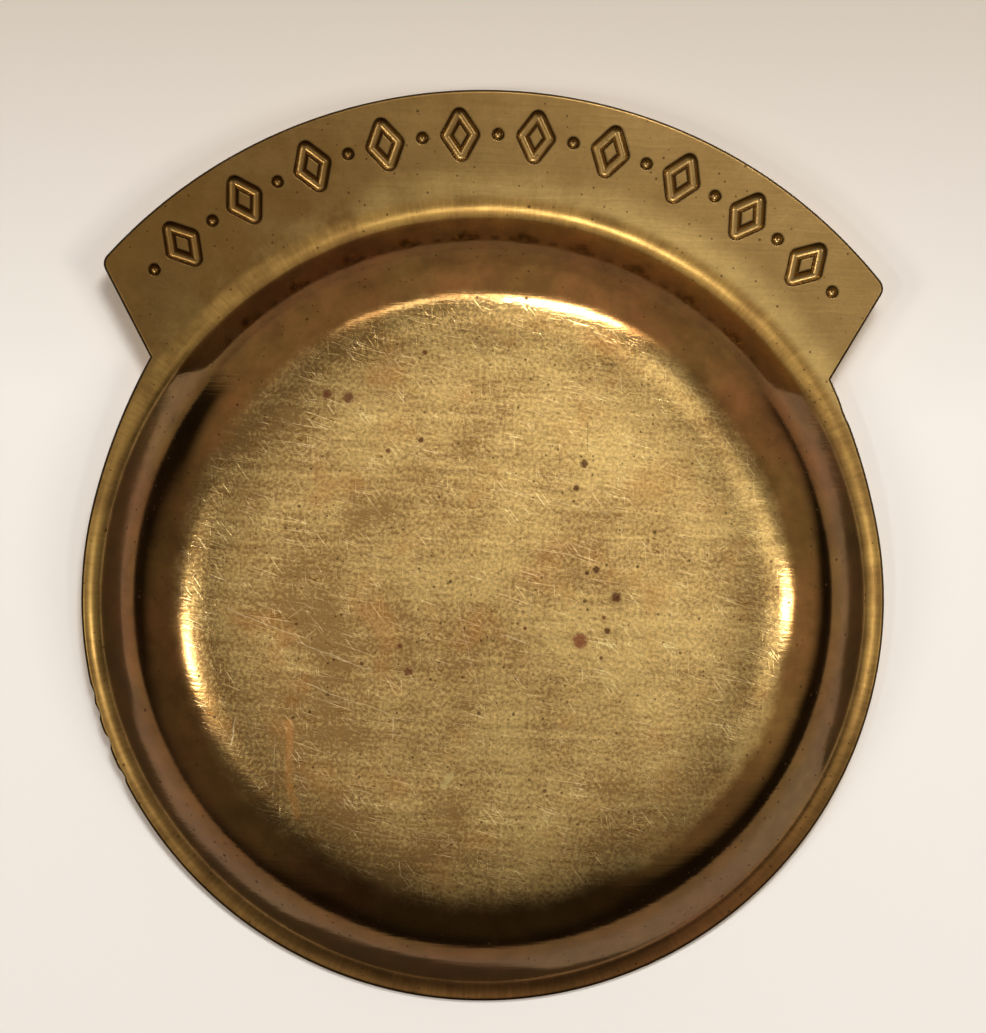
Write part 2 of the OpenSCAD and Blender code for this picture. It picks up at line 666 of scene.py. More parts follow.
@dataclass(frozen=True)
class Spot:
    """A corrosion spot on the back.

    It has a place and radius in millimetres, a share of red, and a strength. A ring is stained
    only along its rim, as a drop leaves it.
    """

    x: float
    y: float
    radius: float
    red: float = 0.3
    strength: float = 0.85
    ring: bool = False


@dataclass(frozen=True)
class Streak:
    """A long mark on the back, in millimetres: a scratch, a chip or a tint."""

    start: tuple[float, float]
    end: tuple[float, float]
    width: float = 0.11
    strength: float = 0.4
    colour: str = "#fff0c4"


@dataclass(frozen=True)
class ScratchField:
    """A field of fine parallel scratches.

    It has a direction in degrees from +X, and a length and width in millimetres. ``share`` is the
    noise at which a scratch starts, so that a higher one leaves fewer, and a negative strength
    darkens. Real ones are a few hundredths of a millimetre wide, too fine to show, so they are
    drawn about five times coarser.
    """

    direction: float
    length: float
    width: float
    share: float
    strength: float


@dataclass(frozen=True)
class Zones:
    """Sockets that the nodes of one finish share.

    ``place`` is in millimetres, ``wavy`` the same on the plan with a slight waver, and ``radius``
    the distance from the tray's axis. The others go from 0 to 1: noises first, then zones.
    """

    place: bpy.types.NodeSocket
    wavy: bpy.types.NodeSocket
    radius: bpy.types.NodeSocket
    clouds: bpy.types.NodeSocket
    blotches: bpy.types.NodeSocket
    grain: bpy.types.NodeSocket
    brushed: bpy.types.NodeSocket
    drawn: bpy.types.NodeSocket
    worn: bpy.types.NodeSocket
    floor_edge: bpy.types.NodeSocket
    rim: bpy.types.NodeSocket
    header: bpy.types.NodeSocket
    near: bpy.types.NodeSocket
    left: bpy.types.NodeSocket
    grime_and_shade: bpy.types.NodeSocket


@dataclass(frozen=True)
class TarnishedBrass:
    """Drawn cartridge brass with years of tarnish.

    Clean brass is a clear yellow mirror. Thin oxide turns it brown and olive where nothing rubs
    it, which is the wall. Rubbing on tables keeps the floor's underside bright, and leaves it
    satin with fine scratches.
    """

    name: str
    worn: str = "#f5d48a"
    worn_dull: str = "#977748"
    worn_orange: str = "#c08446"
    tarnish: str = "#7b5e33"
    tarnish_red: str = "#825834"
    tarnish_dark: str = "#533d20"
    rim: str = "#a5854a"
    header: str = "#b5965f"
    # Near-black of dirt and painted shade along the strokes' feet and the sheared edge
    grime_and_shade: str = "#1e120a"
    pit: str = "#3a2414"
    spot_dark: str = "#3b1a12"
    spot_red: str = "#8a4a34"
    worn_radius: float = 46.4
    worn_rough: float = 0.42
    wall_rough: float = 0.11
    rim_rough: float = 0.34
    header_rough: float = 0.3
    dirt_rough: float = 0.5
    grime_and_shade_depth: float = 0.9
    # The drawn floor's middle stands 1.4 mm proud, which is too shallow a dome to need the mesh
    dome: float = 1.4
    # Tarnish drifts over a tray in clouds as wide as a finger and blotches as wide as a drop
    clouds: Pattern = Pattern(17.0, 6.0, 0.14)
    blotches: Pattern = Pattern(5.0, 4.0, 0.14)
    stains: Pattern = Pattern(11.0, 3.0)
    # Wear leaves grains of about 0.05 mm, drawn ten times coarser so that they show
    grain: Pattern = Pattern(0.55, 2.0)
    # Rubbing on a table leaves lines of a few hundredths of a millimetre, drawn coarser to show
    brushed: Pattern = Pattern(1.1, 3.0)
    brush_angle: float = 17.0
    brush_stretch: float = 0.04
    # Drawing leaves fine radial lines on wall and rim. They are 0.6 mm apart at the rim here,
    # coarser than real ones, so that they show
    drawn: Pattern = Pattern(0.55, 2.0, 0.25)
    drawn_turn: float = 58.0
    drawn_stretch: float = 0.09
    # Long scratches and brush lines waver by up to 0.8 mm over 6 mm, as a hand does
    waver: float = 1.6
    waver_size: float = 6.0
    rim_band: Band = Band(59.4, 60.8)
    header_band: Band = Band(62.9, 64.4)
    # The near and left bands paint shade: darker towards the near side, -Y, and the picture's left,
    # +X
    near_band: Band = Band(-2.0, -52.0)
    left_band: Band = Band(-40.0, 55.0)
    # Thickness of the relief of grain, rubbing and scratches, in millimetres
    relief_depth: float = 0.017
    fields: tuple[ScratchField, ...] = ()
    streaks: tuple[Streak, ...] = ()
    spots: tuple[Spot, ...] = ()

    def make(self) -> bpy.types.Material:
        """Builds the material.

        Returns:
            The finished material.
        """
        material = bpy.data.materials.new(self.name)
        material.use_nodes = True
        tree = material.node_tree
        tree.nodes.clear()
        zones = self.zones(tree)
        marks = self.marks(tree, zones)
        glint = add_node(tree, VECTOR, SCALE, {0: (1.0, 0.83, 0.5), "Scale": marks})
        colour = add_node(tree, MIX, {"data_type": "RGBA", "blend_type": "ADD"},
                          {"Factor": 1.0, "A": self.colour(tree, zones), "B": glint})
        colour = self.add_streaks(tree, zones, colour)
        rough = self.roughness(tree, zones)
        colour, rough = self.add_pits(tree, zones, colour, rough)
        colour, rough = self.add_spots(tree, zones, colour, rough)
        shader = add_node(tree, "ShaderNodeBsdfPrincipled", None, {
            "Base Color": colour, "Metallic": 1.0, "Roughness": rough,
            "Normal": self.relief(tree, zones, marks)})
        add_node(tree, "ShaderNodeOutputMaterial", None, {"Surface": shader})
        return material

    def zones(self, tree: bpy.types.NodeTree) -> Zones:
        """Adds the noises and the zones that all parts of the finish use.

        Args:
            tree: The finish's node tree.

        Returns:
            The sockets of all of them.
        """
        metres = add_node(tree, COORDINATES, None, None, "Object")
        place = add_node(tree, VECTOR, SCALE, {0: metres, "Scale": 1 / MM})
        flat = add_node(tree, VECTOR, TIMES, {0: place, 1: (1, 1, 0)})
        radius = add_node(tree, VECTOR, LENGTH, {0: flat})
        x = add_node(tree, SPLIT, None, {0: place}, "X")
        y = add_node(tree, SPLIT, None, {0: place}, "Y")
        angle = add_node(tree, MATH, {"operation": "ARCTAN2"}, {0: x, 1: y})
        polar = add_node(tree, "ShaderNodeCombineXYZ", None, {"X": angle, "Y": radius})
        polar = add_node(tree, VECTOR, TIMES,
                         {0: polar, 1: (self.drawn_turn, self.drawn_stretch, 0)})
        bent = add_node(tree, NOISE, None,
                        {"Vector": flat, "Scale": 1 / self.waver_size, "Detail": 3.0}, "Color")
        bent = add_node(tree, VECTOR, TIMES_ADD, {0: bent, 1: (self.waver, self.waver, 0), 2: flat})
        wavy = add_node(tree, VECTOR, SUBTRACT, {0: bent, 1: (self.waver / 2, self.waver / 2, 0)})
        turned = add_node(tree, "ShaderNodeMapping", None, {
            "Vector": wavy, "Rotation": (0, 0, math.radians(self.brush_angle)),
            "Scale": (self.brush_stretch, 1, 0)})
        noises = {}
        for name, pattern, where in (
            ("clouds", self.clouds, place),
            ("blotches", self.blotches, place),
            ("grain", self.grain, place),
            ("brushed", self.brushed, turned),
            ("drawn", self.drawn, polar),
        ):
            raw = add_node(tree, NOISE, None, {
                "Vector": where, "Scale": 1 / pattern.size, "Detail": pattern.detail,
                "Roughness": 0.62})
            noises[name] = add_node(tree, RANGE, None, {
                "Value": raw, "From Min": 0.5 - pattern.spread, "From Max": 0.5 + pattern.spread})
        ragged = add_node(tree, MATH, TIMES_ADD, {0: noises["blotches"], 1: 0.9, 2: radius})
        bands = {}
        for name, value, band in (
            ("worn", ragged, Band(self.worn_radius + 2.6, self.worn_radius - 1.4)),
            ("floor_edge", ragged, Band(self.worn_radius - 13.0, self.worn_radius + 1.0)),
            ("rim", radius, self.rim_band),
            ("header", radius, self.header_band),
            ("near", y, self.near_band),
            ("left", x, self.left_band),
        ):
            bands[name] = add_node(tree, RANGE, SMOOTH,
                                   {"Value": value, "From Min": band.start, "From Max": band.end})
        grime_and_shade = add_node(tree, "ShaderNodeAttribute", {"attribute_name": "grime_and_shade"}, None, "Fac")
        return Zones(place=place, wavy=wavy, radius=radius, grime_and_shade=grime_and_shade, **noises, **bands)

    def floor_colour(self, tree: bpy.types.NodeTree, zones: Zones) -> bpy.types.NodeSocket:
        """Adds the worn floor's brass: bright where it is rubbed, browner and orange in clouds, and
        darker towards the near and left sides, which is painted shade.

        Args:
            tree: The finish's node tree.
            zones: Its shared sockets.

        Returns:
            The colour's socket.
        """
        # Tarnish in clouds, grain and rubbing, and painted shade towards the near and left sides
        browned_and_shaded: Any = -0.42
        for part, weight in ((zones.clouds, 0.7), (zones.grain, 0.75), (zones.brushed, 0.35),
                             (zones.near, 0.22), (zones.left, 0.36)):
            browned_and_shaded = add_node(tree, MATH, TIMES_ADD, {0: part, 1: weight, 2: browned_and_shaded})
        stains = add_node(tree, NOISE, None, {
            "Vector": zones.place, "Scale": 1 / self.stains.size, "Detail": self.stains.detail,
            "Roughness": 0.62})
        stains = add_node(tree, RANGE, None, {
            "Value": stains, "From Min": 0.5 - self.stains.spread,
            "From Max": 0.5 + self.stains.spread})
        orange = add_node(tree, RANGE, SMOOTH,
                          {"Value": stains, "From Min": 0.55, "From Max": 0.95, "To Max": 0.3})
        edge = add_node(tree, MATH, TIMES, {0: zones.floor_edge, 1: 0.12})
        floor: Any = linear(self.worn)
        for share, colour in ((browned_and_shaded, self.worn_dull), (orange, self.worn_orange),
                              (edge, self.tarnish)):
            floor = add_node(tree, MIX, COLOURS, {"Factor": share, "A": floor, "B": linear(colour)})
        return floor

    def wall_colours(self, tree: bpy.types.NodeTree,
                     zones: Zones) -> tuple[bpy.types.NodeSocket, bpy.types.NodeSocket]:
        """Adds the brown of the tarnished wall, and the gold of the rim that hands rub, both with
        painted shade towards the near side.

        Args:
            tree: The finish's node tree.
            zones: Its shared sockets.

        Returns:
            The sockets of the wall's and the rim's colour.
        """
        dark = add_node(tree, MATH, TIMES, {0: zones.blotches, 1: 0.55})
        # Painted shade: the wall darkens towards the near side
        near = add_node(tree, MATH, TIMES, {0: zones.near, 1: 0.35})
        wall: Any = linear(self.tarnish)
        for share, colour in ((zones.clouds, self.tarnish_red), (dark, self.tarnish_dark),
                              (near, self.tarnish_dark)):
            wall = add_node(tree, MIX, COLOURS, {"Factor": share, "A": wall, "B": linear(colour)})
        # Painted shade: the rim turns reddish brown towards the near side, less on the left
        near_shade = add_node(tree, MATH, TIMES_ADD, {0: zones.left, 1: -0.6, 2: 1.0})
        near_shade = add_node(tree, MATH, TIMES, {0: near_shade, 1: zones.near})
        rim = add_node(tree, MIX, COLOURS, {
            "Factor": near_shade, "A": linear(self.rim), "B": linear(self.tarnish_red)})
        rim = add_node(tree, MIX, COLOURS, {"Factor": dark, "A": rim, "B": wall})
        return wall, rim

    def header_colour(self, tree: bpy.types.NodeTree, zones: Zones) -> bpy.types.NodeSocket:
        """Adds the header's brass: lighter beside the well, a painted highlight, aged in clouds,
        and darker on one side, a painted shade.

        Args:
            tree: The finish's node tree.
            zones: Its shared sockets.

        Returns:
            The colour's socket.
        """
        # Painted highlight: the header lightens near the well, where the bend's highlight glows
        rubbed = add_node(tree, RANGE, SMOOTH, {
            "Value": zones.radius, "From Min": 69.5, "From Max": 64.5, "To Max": 0.75})
        # Tarnish in clouds and blotches, and painted shade towards the left
        aged_and_left_shade = add_node(tree, MATH, TIMES_ADD, {0: zones.clouds, 1: 0.3, 2: 0.1})
        aged_and_left_shade = add_node(tree, MATH, TIMES_ADD, {0: zones.left, 1: 0.62, 2: aged_and_left_shade})
        aged_and_left_shade = add_node(tree, MATH, CLAMPED_TIMES_ADD, {0: zones.blotches, 1: 0.16, 2: aged_and_left_shade})
        haze = add_node(tree, MATH, TIMES, {0: zones.grain, 1: 0.14})
        # A broken bright line where the flange meets the header
        line = add_node(tree, MATH, COMPARE, {0: zones.radius, 1: 62.9, 2: 0.16})
        for breaks in (zones.drawn, zones.blotches):
            line = add_node(tree, MATH, TIMES, {0: line, 1: breaks})
        header: Any = linear(self.header)
        for share, colour in ((rubbed, self.worn), (aged_and_left_shade, self.tarnish),
                              (haze, self.tarnish_dark), (line, self.worn)):
            header = add_node(tree, MIX, COLOURS,
                              {"Factor": share, "A": header, "B": linear(colour)})
        return header

    def colour(self, tree: bpy.types.NodeTree, zones: Zones) -> bpy.types.NodeSocket:
        """Adds the colours of floor, wall, rim and header, with drawing lines, dirt and painted
        shade on them.

        Args:
            tree: The finish's node tree.
            zones: Its shared sockets.

        Returns:
            The colour's socket.
        """
        floor = self.floor_colour(tree, zones)
        colour, rim = self.wall_colours(tree, zones)
        for share, part in ((zones.rim, rim), (zones.header, self.header_colour(tree, zones)),
                            (zones.worn, floor)):
            colour = add_node(tree, MIX, COLOURS, {"Factor": share, "A": colour, "B": part})
        ticks = add_node(tree, MATH, SUBTRACT, {0: zones.rim, 1: zones.header})
        ticks = add_node(tree, MATH, TIMES_ADD, {0: ticks, 1: 0.3, 2: 0.06})
        fine = add_node(tree, MATH, SUBTRACT, {0: zones.drawn, 1: 0.5})
        fine = add_node(tree, MATH, TIMES_ADD, {0: fine, 1: ticks, 2: 1.0})
        colour = add_node(tree, MIX, {"data_type": "RGBA", "blend_type": "MULTIPLY"},
                          {"Factor": 1.0, "A": colour, "B": fine})
        # Dirt and painted shade darken the strokes' feet and the sheared edge
        grime_and_shade = add_node(tree, MATH, TIMES, {0: zones.grime_and_shade, 1: self.grime_and_shade_depth})
        return add_node(tree, MIX, COLOURS, {"Factor": grime_and_shade, "A": colour, "B": linear(self.grime_and_shade)})

    def roughness(self, tree: bpy.types.NodeTree, zones: Zones) -> bpy.types.NodeSocket:
        """Adds the roughness of floor, wall, rim and header, uneven in clouds.

        Args:
            tree: The finish's node tree.
            zones: Its shared sockets.

        Returns:
            The roughness's socket.
        """
        floor = add_node(tree, MIX, None, {
            "Factor": zones.floor_edge, "A": self.worn_rough, "B": self.wall_rough + 0.03})
        base: Any = self.wall_rough
        for share, rough in ((zones.rim, self.rim_rough), (zones.header, self.header_rough),
                             (zones.worn, floor), (zones.grime_and_shade, 0.4)):
            base = add_node(tree, MIX, None, {"Factor": share, "A": base, "B": rough})
        uneven = add_node(tree, RANGE, None, {"Value": zones.clouds, "To Min": 0.85, "To Max": 1.2})
        return add_node(tree, MATH, TIMES, {0: base, 1: uneven})

    def marks(self, tree: bpy.types.NodeTree, zones: Zones) -> bpy.types.NodeSocket:
        """Adds the fields of fine scratches on the worn brass, which crowd in some places.

        Args:
            tree: The finish's node tree.
            zones: Its shared sockets.

        Returns:
            The socket that says how much brighter a scratch is.
        """
        total: Any = 0.0
        for index, lines in enumerate(self.fields):
            turned = add_node(tree, "ShaderNodeMapping", None, {
                "Vector": zones.place, "Rotation": (0, 0, math.radians(-lines.direction)),
                "Location": (17.0 * index, 9.0 * index, 0.0)})
            stretched = add_node(tree, VECTOR, TIMES,
                                 {0: turned, 1: (1 / lines.length, 1 / lines.width, 0)})
            drawn = add_node(tree, NOISE, None, {"Vector": stretched, "Scale": 1.0, "Detail": 0.0})
            drawn = add_node(tree, RANGE, SMOOTH, {
                "Value": drawn, "From Min": lines.share, "From Max": lines.share + 0.07,
                "To Max": lines.strength})
            total = add_node(tree, MATH, ADD, {0: total, 1: drawn})
        crowd = add_node(tree, RANGE, SMOOTH,
                         {"Value": zones.blotches, "From Min": 0.25, "From Max": 0.9})
        crowd = add_node(tree, MATH, TIMES_ADD, {0: crowd, 1: 0.75, 2: 0.25})
        crowd = add_node(tree, MATH, TIMES, {0: crowd, 1: zones.worn})
        return add_node(tree, MATH, TIMES, {0: total, 1: crowd})

    def add_streaks(self, tree: bpy.types.NodeTree, zones: Zones,
                    colour: bpy.types.NodeSocket) -> bpy.types.NodeSocket:
        """Adds the long marks one by one.

        Args:
            tree: The finish's node tree.
            zones: Its shared sockets.
            colour: The colour without them.

        Returns:
            The socket of the colour with them.
        """
        for streak in self.streaks:
            start, end = Vector((*streak.start, 0)), Vector((*streak.end, 0))
            along = end - start
            away = add_node(tree, VECTOR, SUBTRACT, {0: zones.wavy, 1: start})
            share = add_node(tree, VECTOR, {"operation": "DOT_PRODUCT"},
                             {0: away, 1: along / along.length_squared})
            share = add_node(tree, MATH, {"operation": "MULTIPLY", "use_clamp": True},
                             {0: share, 1: 1.0})
            foot = add_node(tree, VECTOR, SCALE, {0: along, "Scale": share})
            away = add_node(tree, VECTOR, DISTANCE, {0: away, 1: foot})
            line = add_node(tree, RANGE, SMOOTH, {
                "Value": away, "From Min": streak.width, "From Max": 0.25 * streak.width,
                "To Max": streak.strength})
            colour = add_node(tree, MIX, COLOURS,
                              {"Factor": line, "A": colour, "B": linear(streak.colour)})
        return colour

    def add_pits(self, tree: bpy.types.NodeTree, zones: Zones, colour: bpy.types.NodeSocket,
                 rough: bpy.types.NodeSocket) -> tuple[bpy.types.NodeSocket, bpy.types.NodeSocket]:
        """Adds tiny dark pits where moisture ate the brass, coarse ones and fine ones.

        Args:
            tree: The finish's node tree.
            zones: Its shared sockets.
            colour: The colour without them.
            rough: The roughness without them.

        Returns:
            The sockets of both with them.
        """
        pits: Any = 0.0
        # For each kind: millimetres between cells, the chance below which one is empty, and reach
        for spacing, lucky, reach in ((2.6, 0.6, 0.12), (0.9, 0.68, 0.24)):
            cell = {"Vector": zones.place, "Scale": 1 / spacing}
            chance = add_node(tree, "ShaderNodeTexVoronoi", None, cell, "Color")
            chance = add_node(tree, "ShaderNodeSeparateColor", None, {"Color": chance})
            size = add_node(tree, RANGE, None, {
                "Value": chance, "From Min": lucky, "From Max": 1.0, "To Max": reach})
            away = add_node(tree, "ShaderNodeTexVoronoi", None, cell, "Distance")
            inside = add_node(tree, MATH, {"operation": "LESS_THAN"}, {0: away, 1: size})
            pits = add_node(tree, MATH, {"operation": "MAXIMUM"}, {0: pits, 1: inside})
        pits = add_node(tree, MATH, TIMES, {0: pits, 1: 0.7})
        colour = add_node(tree, MIX, COLOURS, {"Factor": pits, "A": colour, "B": linear(self.pit)})
        return colour, add_node(tree, MIX, None,
                                {"Factor": pits, "A": rough, "B": self.dirt_rough})

    def add_spots(self, tree: bpy.types.NodeTree, zones: Zones, colour: bpy.types.NodeSocket,
                  rough: bpy.types.NodeSocket) -> tuple[bpy.types.NodeSocket, bpy.types.NodeSocket]:
        """Adds the larger red-brown spots one by one, with ragged outlines.

        Args:
            tree: The finish's node tree.
            zones: Its shared sockets.
            colour: The colour without them.
            rough: The roughness without them.

        Returns:
            The sockets of both with them.
        """
        dark, red = linear(self.spot_dark), linear(self.spot_red)
        for spot in self.spots:
            away = add_node(tree, VECTOR, DISTANCE, {0: zones.place, 1: (spot.x, spot.y, 0)})
            away = add_node(tree, MATH, TIMES_ADD, {0: zones.grain, 1: 0.8 * spot.radius, 2: away})
            if spot.ring:
                away = add_node(tree, MATH, COMPARE, {0: away, 1: spot.radius, 2: 0.3})
                away = add_node(tree, MATH, TIMES_ADD,
                                {0: away, 1: -1.6 * spot.radius, 2: 1.6 * spot.radius})
            stain = add_node(tree, RANGE, SMOOTH, {
                "Value": away, "From Min": 1.55 * spot.radius, "From Max": 1.05 * spot.radius,
                "To Max": spot.strength})
            tint = tuple(low + (high - low) * spot.red for low, high in zip(dark, red))
            colour = add_node(tree, MIX, COLOURS, {"Factor": stain, "A": colour, "B": tint})
            rough = add_node(tree, MIX, None, {"Factor": stain, "A": rough, "B": self.dirt_rough})
        return colour, rough

    def relief(self, tree: bpy.types.NodeTree, zones: Zones,
               marks: bpy.types.NodeSocket) -> bpy.types.NodeSocket:
        """Adds relief: the drawn floor's faint dome and waves, the grain of wear and the scratches.

        Args:
            tree: The finish's node tree.
            zones: Its shared sockets.
            marks: The fine scratches.

        Returns:
            The normal's socket.
        """
        dome = add_node(tree, RANGE, SMOOTH, {
            "Value": zones.radius, "From Min": 48.0, "From Max": 0.0, "To Max": self.dome})
        waves = add_node(tree, NOISE, None, {"Vector": zones.place, "Scale": 1 / 9, "Detail": 2.0})
        waves = add_node(tree, MATH, TIMES_ADD, {0: waves, 1: 0.03, 2: dome})
        normal = add_node(tree, "ShaderNodeBump", None,
                          {"Height": waves, "Distance": MM, "Strength": 1.0})
        rubbed = add_node(tree, RANGE, SMOOTH, {
            "Value": zones.radius, "From Min": self.worn_radius + 1.0,
            "From Max": self.worn_radius - 5.0})
        fine = add_node(tree, MATH, TIMES, {0: zones.grain, 1: rubbed})
        fine = add_node(tree, MATH, TIMES_ADD, {0: marks, 1: -0.5, 2: fine})
        rub = add_node(tree, MATH, TIMES, {0: zones.brushed, 1: 0.5})
        fine = add_node(tree, MATH, ADD, {0: fine, 1: rub})
        return add_node(tree, "ShaderNodeBump", None, {
            "Height": fine, "Distance": self.relief_depth * MM, "Strength": 1.0, "Normal": normal})


# Cartridge brass, drawn without lacquer and tarnished in air. The eye sees a satin gold floor with
# crossing scratches, a brown wall that still mirrors, and a golden rim and header.
BACK_FINISH = TarnishedBrass(
    "brass_tarnished_back",
    fields=(
        ScratchField(52, 5.0, 0.18, 0.715, 0.5),
        ScratchField(18, 7.5, 0.17, 0.7, 0.44),
        ScratchField(7, 10.0, 0.16, 0.7, 0.4),
        ScratchField(84, 4.5, 0.16, 0.74, 0.4),
        ScratchField(-36, 5.0, 0.16, 0.755, 0.38),
        ScratchField(26, 3.0, 0.2, 0.72, -0.17),
        ScratchField(-10, 4.0, 0.2, 0.73, -0.15),
    ),
    streaks=(
        Streak((28.9, -19.4), (28.6, -29.4), 1.0, 0.4, "#d99a55"),
        Streak((28.6, -29.4), (27.2, -33.9), 0.9, 0.4, "#d99a55"),
        Streak((39.3, -2.4), (27.8, -6.5)),
        Streak((27.7, -7.4), (17.0, -10.7)),
        Streak((26.8, -13.3), (13.7, -17.7), 0.1, 0.35),
        Streak((31.3, -21.5), (31.1, -31.4), 0.1, 0.25),
        Streak((37.3, -19.2), (37.7, -23.2), 0.16, 0.5),
        Streak((13.0, -17.9), (13.2, -25.5), 0.1, 0.3),
        Streak((3.8, -1.2), (0.2, -13.5), 0.1, 0.25),
        Streak((-2.1, 17.7), (-6.9, 16.6), 0.1, 0.3),
        Streak((-10.2, 16.0), (-19.1, 14.3), 0.1, 0.25),
        Streak((-15.3, 28.4), (-15.4, 23.5), 0.12, 0.5, "#5a4020"),
        Streak((-2.9, -4.7), (-6.9, -5.8), 0.13, 0.4),
        Streak((-7.4, 1.9), (-7.3, -3.8), 0.1, 0.25),
        Streak((-8.8, 24.7), (-11.4, 24.6), 0.1, 0.3),
        Streak((-28.6, 2.9), (-30.2, -10.5), 0.1, 0.22),
        Streak((4.1, -26.8), (4.9, -28.4), 0.8, 0.6, "#e3d08e"),
    ),
    spots=(
        Spot(24.9, 31.1, 0.75),
        Spot(21.6, 30.7, 0.9),
        Spot(-14.9, 21.7, 0.65, 0.1),
        Spot(-13.9, 17.9, 0.5, 0.1),
        Spot(-15.9, 5.0, 0.35, 0.1),
        Spot(-17.3, 5.5, 0.6, 0.1),
        Spot(-20.5, 1.4, 0.8, 0.2),
        Spot(-15.2, -5.5, 1.2, 0.9),
        Spot(-19.3, -3.8, 0.5, 0.2),
        Spot(-18.5, -8.0, 0.3, 0.4),
        Spot(-18.7, -1.8, 0.35, 0.6),
        Spot(-6.7, -3.8, 0.3, 0.5),
        Spot(12.4, -7.2, 0.4, 0.5),
        Spot(11.0, -11.1, 0.7, 0.5),
        Spot(15.2, 22.7, 0.4, 0.5),
        Spot(10.2, 24.5, 0.45, 0.1),
        Spot(10.1, 38.0, 0.45, 0.2),
        Spot(36.6, 34.8, 1.5, 0.3, 0.45, True),
        Spot(-12.4, 49.6, 0.8, 0.2, 0.4, True),
        Spot(14.0, -56.5, 1.2, 0.1, 0.5),
        Spot(-24.0, -50.5, 1.0, 0.2, 0.4),
        Spot(24.0, -51.0, 0.8, 0.5, 0.4),
        Spot(-50.0, 22.0, 3.0, 0.9, 0.3),
        Spot(-36.0, 40.0, 2.6, 0.8, 0.3),
        Spot(47.0, 28.0, 2.2, 0.8, 0.25),
        Spot(6.0, 53.0, 1.6, 0.6, 0.3),
    ),
)
# The same brass in front, where coins and fingers keep it rubbed. The eye sees satin gold all over,
# with scratches that cross at every angle and no dark wall.
FACE_FINISH = TarnishedBrass(
    "brass_coin_worn_face",
    worn="#dcb973",
    worn_dull="#8e6c3a",
    worn_radius=300.0,
    worn_rough=0.3,
    grime_and_shade_depth=0.5,
    dome=0.0,
    fields=(
        ScratchField(-35, 8.0, 0.2, 0.6, 0.14),
        ScratchField(20, 6.0, 0.16, 0.6, 0.14),
        ScratchField(75, 7.0, 0.18, 0.62, 0.12),
        ScratchField(-80, 5.0, 0.14, 0.62, 0.12),
    ),
)
# Sheared brass, torn rather than cut and never rubbed. The eye sees a thin dull brown line.
EDGE_FINISH = TarnishedBrass(
    "brass_sheared_edge", rim="#7d5f38", header="#7d5f38", worn_radius=0.0, rim_rough=0.35)


def aimed(bearing: float, off_axis: float, picture_up: Vector, towards_camera: Vector) -> Vector:
    """Direction that is given as it looks in the picture.

    Args:
        bearing: Degrees clockwise from straight up in the picture.
        off_axis: Degrees from the line to the camera.
        picture_up: Direction that is up in the picture.
        towards_camera: Direction from the tray to the camera.

    Returns:
        The direction, of length 1.
    """
    picture_right = picture_up.cross(towards_camera)
    turn, off = math.radians(bearing), math.radians(off_axis)
    flat = picture_up * math.cos(turn) + picture_right * math.sin(turn)
    return towards_camera * math.cos(off) + flat * math.sin(off)


@dataclass(frozen=True)
class Lamp:
    """A soft oval lamp that is aimed at the tray.

    ``bearing`` is its direction seen on the picture, clockwise from straight up, and ``off_axis``
    its angle from the camera's line of sight. ``radiance`` is how bright its face looks, where 1
    is white. A lamp that isn't mirrored makes no highlight on the metal.
    """

    name: str
    bearing: float
    off_axis: float
    distance: float
    width: float
    height: float
    radiance: float
    colour: str = "#fffcf7"
    mirrored: bool = True

    def make(self, centre: Vector, picture_up: Vector, towards_camera: Vector) -> bpy.types.Object:
        """Adds the lamp.

        Args:
            centre: The point that the lamp is aimed at.
            picture_up: Direction that is up in the picture.
            towards_camera: Direction from the tray to the camera.

        Returns:
            The lamp's object.
        """
        direction = aimed(self.bearing, self.off_axis, picture_up, towards_camera)
        light = bpy.data.lights.new(self.name, "AREA")
        light.shape = "ELLIPSE"
        light.size, light.size_y = self.width, self.height
        light.energy = self.radiance * math.pi * self.width * self.height
        light.color = linear(self.colour)[:3]
        lamp = bpy.data.objects.new(self.name, light)
        lamp.visible_glossy = self.mirrored
        lamp.location = centre + direction * self.distance
        across = picture_up.cross(direction).normalized()
        turn = Matrix((across, direction.cross(across), direction)).transposed()
        lamp.rotation_euler = turn.to_euler()
        bpy.context.collection.objects.link(lamp)
        return lamp


@dataclass(frozen=True)
class Patch:
    """A round soft-edged patch of the surroundings, as the tray's underside mirrors them.

    ``bearing`` and ``off_axis`` give its middle as a lamp's do. It is full within ``inner`` degrees
    of its middle and gone at ``outer`` degrees. ``level`` is its radiance, and ``colour`` its hue.
    """

    bearing: float
    off_axis: float
    inner: float
    outer: float
    level: float
    colour: str = "#fff4e4"


